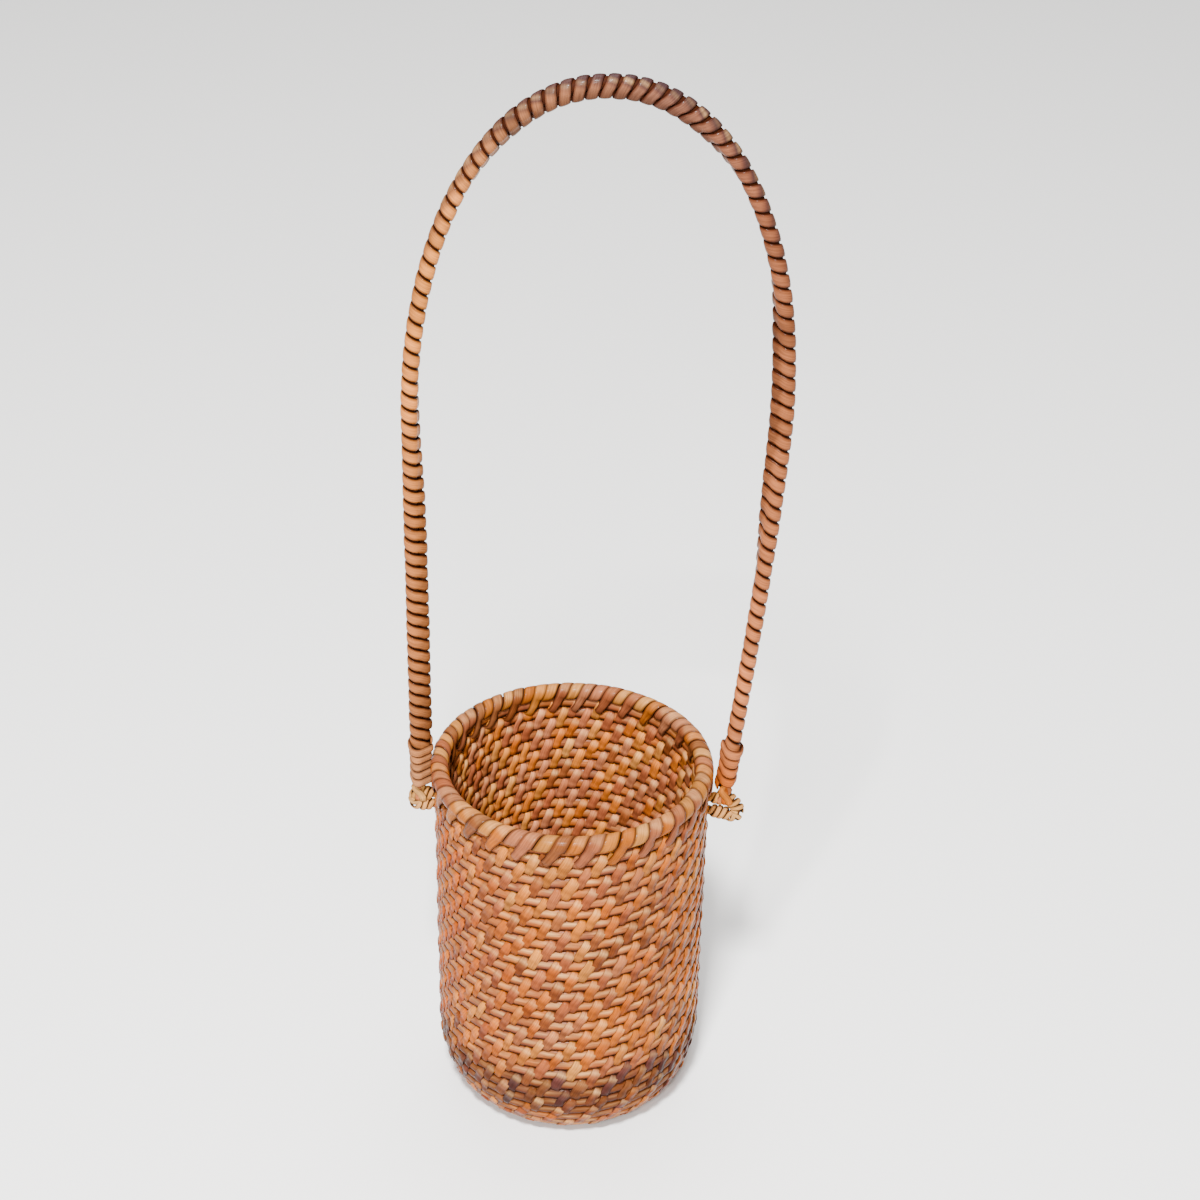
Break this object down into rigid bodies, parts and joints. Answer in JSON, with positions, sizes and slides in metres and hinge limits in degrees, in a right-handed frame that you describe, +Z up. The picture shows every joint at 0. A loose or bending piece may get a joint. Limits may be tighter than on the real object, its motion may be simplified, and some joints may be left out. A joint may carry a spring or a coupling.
{
  "type": "wine bottle basket",
  "caption": "Tall coiled rattan basket that holds one wine bottle, with a bound rim and a high hoop handle that swings on cane links.",
  "frame": {"origin": "middle of the base's underside, on the table", "axes": "+Z up along the basket's axis; the handle spans X; the front is -Y"},
  "size_m": [0.156, 0.12, 0.4743],
  "materials": {
    "coil": "lacquered rattan, satin",
    "cane": "dark aged rattan cane, satin",
    "tan_peel": "rattan peel, tan, glossy skin side out",
    "brown_peel": "rattan peel, brown, glossy skin side out"
  },
  "bodies": {
    "basket": {"base_coil": "coil", "wall_coil": "coil", "rim_cane": "cane", "rim_sewing_strip": "brown_peel", "rim_wrapping_strip": "tan_peel", "left_link": "cane", "right_link": "cane"},
    "handle": {"handle_main_cane": "cane", "handle_filler_cane": "cane", "left_handle_binding": "tan_peel", "right_handle_binding": "tan_peel", "left_end_lashing": "tan_peel", "right_end_lashing": "tan_peel", "left_hanger_loop": "cane", "right_hanger_loop": "cane"}
  },
  "joints": [
    {"name": "handle_swing", "type": "hinge", "parent": "basket", "child": "handle", "pos_m": [0, 0, 0.1496], "axis": [1, 0, 0], "range_deg": [-110, 110]}
  ]
}
